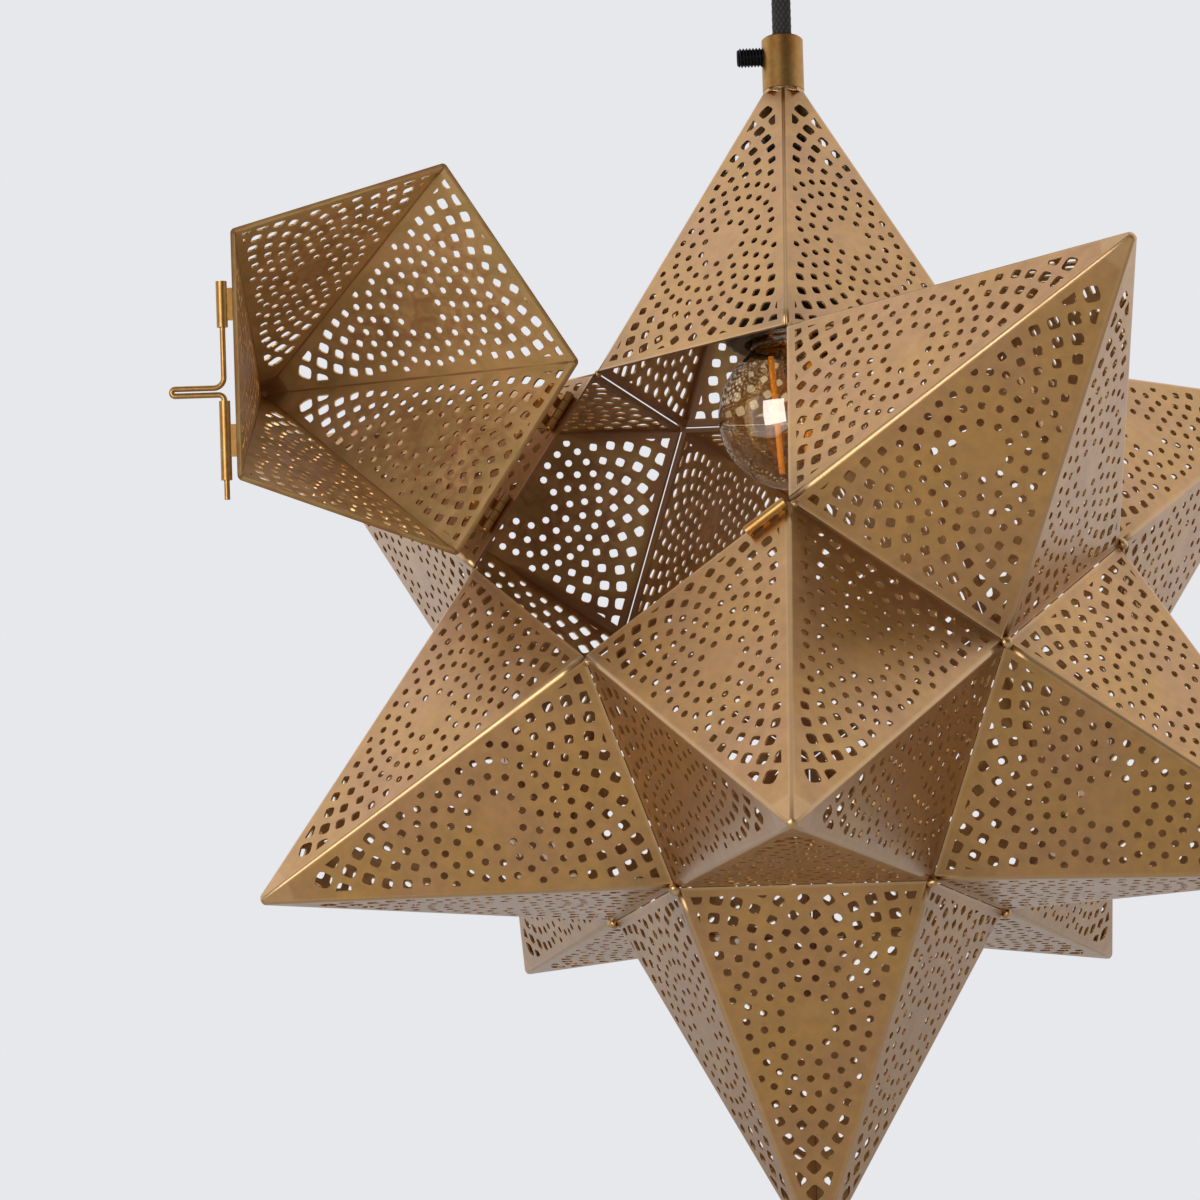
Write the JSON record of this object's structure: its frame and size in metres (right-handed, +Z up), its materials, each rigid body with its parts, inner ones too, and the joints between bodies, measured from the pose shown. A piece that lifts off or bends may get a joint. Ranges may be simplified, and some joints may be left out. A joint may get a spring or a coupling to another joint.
{
  "type": "hanging lantern",
  "caption": "Pendant light: a twelve-pointed star of pierced brass sheet round a bulb, hung on a cord from a ceiling rose, with one hinged point as its door.",
  "frame": {"origin": "on the ceiling, in the middle of the top face of the strap that the rose is fixed to", "axes": "+Z up, out of the lantern into the ceiling; +Y toward the back, so that the door is at the front on the -X side"},
  "size_m": [0.331, 0.325, 0.4341],
  "materials": {
    "brass_sheet": "antique brass sheet, satin, darker inside",
    "brass_cast": "turned and drawn antique brass, satin",
    "solder": "bright hard solder, rough",
    "nylon_black": "moulded black nylon",
    "cord_textile": "braided charcoal textile",
    "core_insulation": "PVC insulation",
    "zinc_steel": "zinc plated steel",
    "bakelite": "moulded black bakelite, glossy",
    "porcelain": "glazed white porcelain",
    "brass_bright": "pressed bright brass",
    "bulb_glass": "clear blown glass",
    "black_glass": "black vitrite glass",
    "contact_metal": "tinned contact",
    "filament": "yellow phosphor on LED filament"
  },
  "bodies": {
    "lantern": {"top_point": "brass_sheet", "upper_point_front_right": "brass_sheet", "upper_point_right": "brass_sheet", "upper_point_back": "brass_sheet", "upper_point_left": "brass_sheet", "lower_point_front": "brass_sheet", "lower_point_front_right": "brass_sheet", "lower_point_back_right": "brass_sheet", "lower_point_back_left": "brass_sheet", "lower_point_front_left": "brass_sheet", "bottom_point": "brass_sheet", "corner_solder": "solder", "star_hinge_leaves": "brass_cast", "hinge_pins": "brass_cast", "bolt_keeper_tube": "brass_cast", "collar": "brass_cast", "collar_solder": "solder", "cord": "cord_textile", "cord_cores": "core_insulation", "rose_cup": "brass_cast", "rose_strap": "zinc_steel", "rose_side_screws": "brass_cast", "cord_grip": "brass_cast", "grip_nut": "zinc_steel", "terminal_block": "porcelain", "terminal_screws": "zinc_steel", "holder_nipple": "zinc_steel", "holder_cap": "bakelite", "holder_skirt": "bakelite", "holder_sleeve": "brass_bright", "holder_insulator": "porcelain", "holder_contact": "brass_bright", "bulb_glass": "bulb_glass", "bulb_cap": "brass_bright", "bulb_insulator": "black_glass", "bulb_contact": "contact_metal", "bulb_stem": "bulb_glass", "bulb_filaments": "filament"},
    "door": {"door_point": "brass_sheet", "door_hinge_leaves": "brass_cast", "door_bolt_tubes": "brass_cast"},
    "bolt": {"bolt_rod": "brass_cast"},
    "clamp": {"clamp_screw": "nylon_black"}
  },
  "joints": [
    {"name": "door_hinge", "type": "hinge", "parent": "lantern", "child": "door", "pos_m": [-0.07924, -0.02371, -0.20186], "axis": [0.5, 0.1625, 0.8507], "range_deg": [0, 106]},
    {"name": "bolt_slide", "type": "slide", "parent": "door", "child": "bolt", "axis": [-0.004, -0.1687, 0.9857], "range_m": [0, 0.014]},
    {"name": "clamp_slide", "type": "slide", "parent": "lantern", "child": "clamp", "axis": [-1, 0, 0], "range_m": [0, 0.002]}
  ]
}
